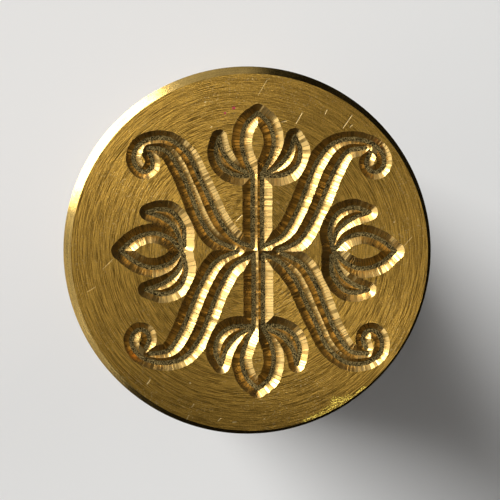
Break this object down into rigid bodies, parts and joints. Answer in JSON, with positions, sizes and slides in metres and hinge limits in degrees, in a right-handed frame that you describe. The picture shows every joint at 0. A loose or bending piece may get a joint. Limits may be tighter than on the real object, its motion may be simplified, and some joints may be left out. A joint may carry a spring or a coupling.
{
  "type": "seal matrix",
  "caption": "Wax seal matrix: a round brass head engraved with a scroll and bud ornament, screwed onto a turned wooden handle.",
  "frame": {"origin": "centre of the butt cap's flat face, which the seal stands on", "axes": "+Z along the seal's axis, out of the engraved face; +Y up the engraved ornament as the picture shows it"},
  "size_m": [0.025, 0.025, 0.0577],
  "materials": {
    "engraved_brass": "brushed face, cross-ribbed engraved walls, dull rough floors",
    "turned_brass": "fine turned lines, satin",
    "fixing_brass": "plain, slightly dull",
    "stud_steel": "zinc-bright, cut thread",
    "washer_leather": "vegetable-tanned, dull",
    "handle_wood": "oiled hardwood, grain along the axis"
  },
  "bodies": {
    "handle": {"handle": "handle_wood", "butt_cap": "turned_brass", "butt_screw": "fixing_brass", "ferrule": "turned_brass", "ferrule_pin_1": "fixing_brass", "ferrule_pin_2": "fixing_brass", "thread_insert": "fixing_brass", "mounting_stud": "stud_steel"},
    "washer": {"head_washer": "washer_leather"},
    "head": {"seal_head": "engraved_brass"}
  },
  "joints": [
    {"name": "head_rise", "type": "slide", "parent": "handle", "child": "washer", "axis": [0, 0, 1], "range_m": [0, 0.007]},
    {"name": "head_turn", "type": "hinge", "parent": "washer", "child": "head", "pos_m": [0, 0, 0.0442], "axis": [0, 0, 1], "range_deg": [0, 2520]}
  ],
  "couplings": [
    {"joint": "head_rise", "follows": "head_turn", "m_per_rad": 0.00015915}
  ]
}
